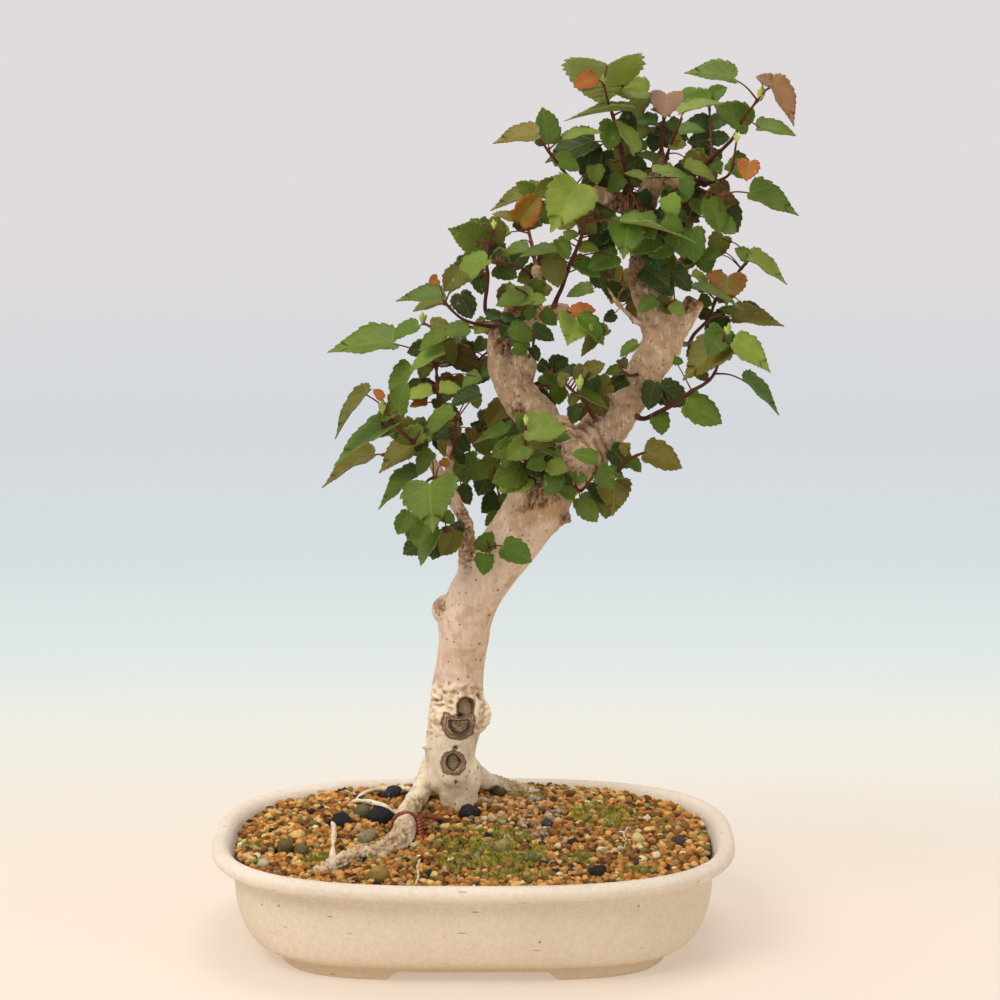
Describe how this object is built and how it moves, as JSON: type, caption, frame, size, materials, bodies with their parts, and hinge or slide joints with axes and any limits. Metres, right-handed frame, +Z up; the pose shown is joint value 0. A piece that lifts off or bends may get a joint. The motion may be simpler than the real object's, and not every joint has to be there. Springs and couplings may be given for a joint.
{
  "type": "potted bonsai tree",
  "caption": "Small tree with a leaning forked trunk, surface roots and toothed heart-shaped leaves, growing in a shallow oval footed pot of granular soil.",
  "frame": {"origin": "middle of the whole object's footprint box, on the table", "axes": "+Z up; +X to the right and +Y away from the viewer when seen from the front, along the pot's long side"},
  "size_m": [0.3318, 0.2144, 0.5075],
  "materials": {
    "pot_glaze": "matt unglazed-looking cream stoneware with fine specks",
    "soil": "loose fired-clay bonsai grains, tan and brown",
    "bark": "smooth pale beige bark with brown specks",
    "wire": "copper-brown anodised bonsai wire",
    "drain_screen": "black plastic mesh",
    "foliage": "green leaf blades with red-brown stems"
  },
  "bodies": {
    "root": {"drain_screen_left": "drain_screen", "drain_screen_right": "drain_screen", "pot": "pot_glaze", "shoot_apex_centre": "foliage", "shoot_apex_front": "foliage", "shoot_apex_left": "foliage", "shoot_apex_right_inner": "foliage", "shoot_arm_end": "foliage", "shoot_back_left_top": "foliage", "shoot_centre_back": "foliage", "shoot_centre_front": "foliage", "shoot_centre_gap": "foliage", "shoot_centre_tall": "foliage", "shoot_fork_inner": "foliage", "shoot_left_branch_back": "foliage", "shoot_left_drooping": "foliage", "shoot_left_drooping_back": "foliage", "shoot_left_inner": "foliage", "shoot_left_low": "foliage", "shoot_left_low_front": "foliage", "shoot_left_middle": "foliage", "shoot_left_middle_low": "foliage", "shoot_left_stub_shoot": "foliage", "shoot_left_tall": "foliage", "shoot_left_top": "foliage", "shoot_left_upright": "foliage", "shoot_low_left": "foliage", "shoot_lower_centre": "foliage", "shoot_lower_right": "foliage", "shoot_middle_twig": "foliage", "shoot_right_lower": "foliage", "shoot_right_middle": "foliage", "shoot_right_shoulder": "foliage", "shoot_right_trunk_back": "foliage", "shoot_right_trunk_left": "foliage", "shoot_right_upper": "foliage", "shoot_right_upper_back": "foliage", "shoot_stub_sprout": "foliage", "shoot_top_right": "foliage", "shoot_top_right_back": "foliage", "shoot_top_right_front": "foliage", "shoot_trunk_sprout": "foliage", "soil": "soil", "trunk": "bark", "wire_tie": "wire"}
  },
  "joints": []
}
